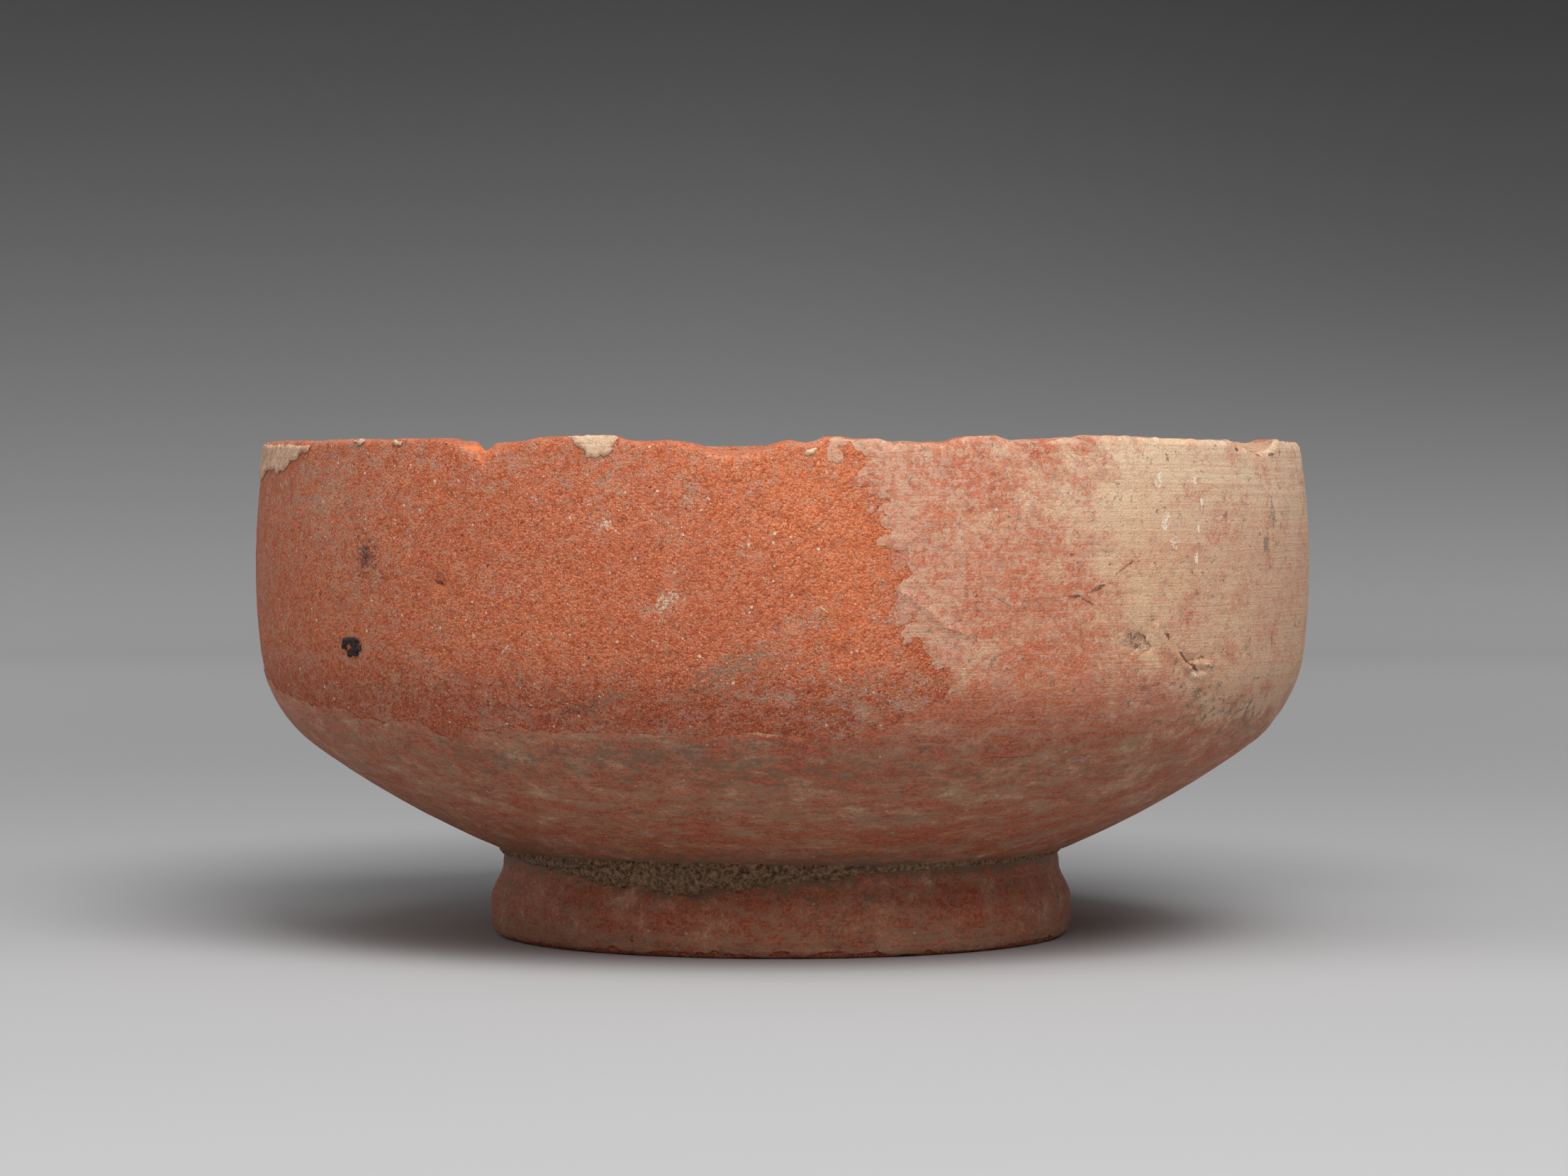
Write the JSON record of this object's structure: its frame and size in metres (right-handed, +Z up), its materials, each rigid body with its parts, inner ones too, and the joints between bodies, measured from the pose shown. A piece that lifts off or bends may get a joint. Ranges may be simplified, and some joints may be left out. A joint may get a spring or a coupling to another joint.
{
  "type": "bowl",
  "caption": "Small wheel-thrown pottery bowl with upright wall, rounded shoulder and ring foot, its slip coat worn through to the clay; holds food or drink and stands on its foot.",
  "frame": {"origin": "centre of the foot on the table", "axes": "+Z up along the throwing axis, -Y towards the pictured front, +X to its right"},
  "size_m": [0.1197, 0.1197, 0.056],
  "materials": {
    "clay": "matt, gritty",
    "luting": "matt",
    "slip": "dull satin, worn",
    "soil": "matt, crumbly",
    "deposit": "matt"
  },
  "bodies": {
    "root": {"thrown_bowl": "clay", "foot_ring": "clay", "luting_slip": "luting", "outer_slip_coat": "slip", "inner_slip_coat": "slip", "foot_slip_coat": "slip", "recess_slip_coat": "slip", "slip_flakes": "slip", "groove_soil": "soil", "black_deposit": "deposit"}
  },
  "joints": []
}
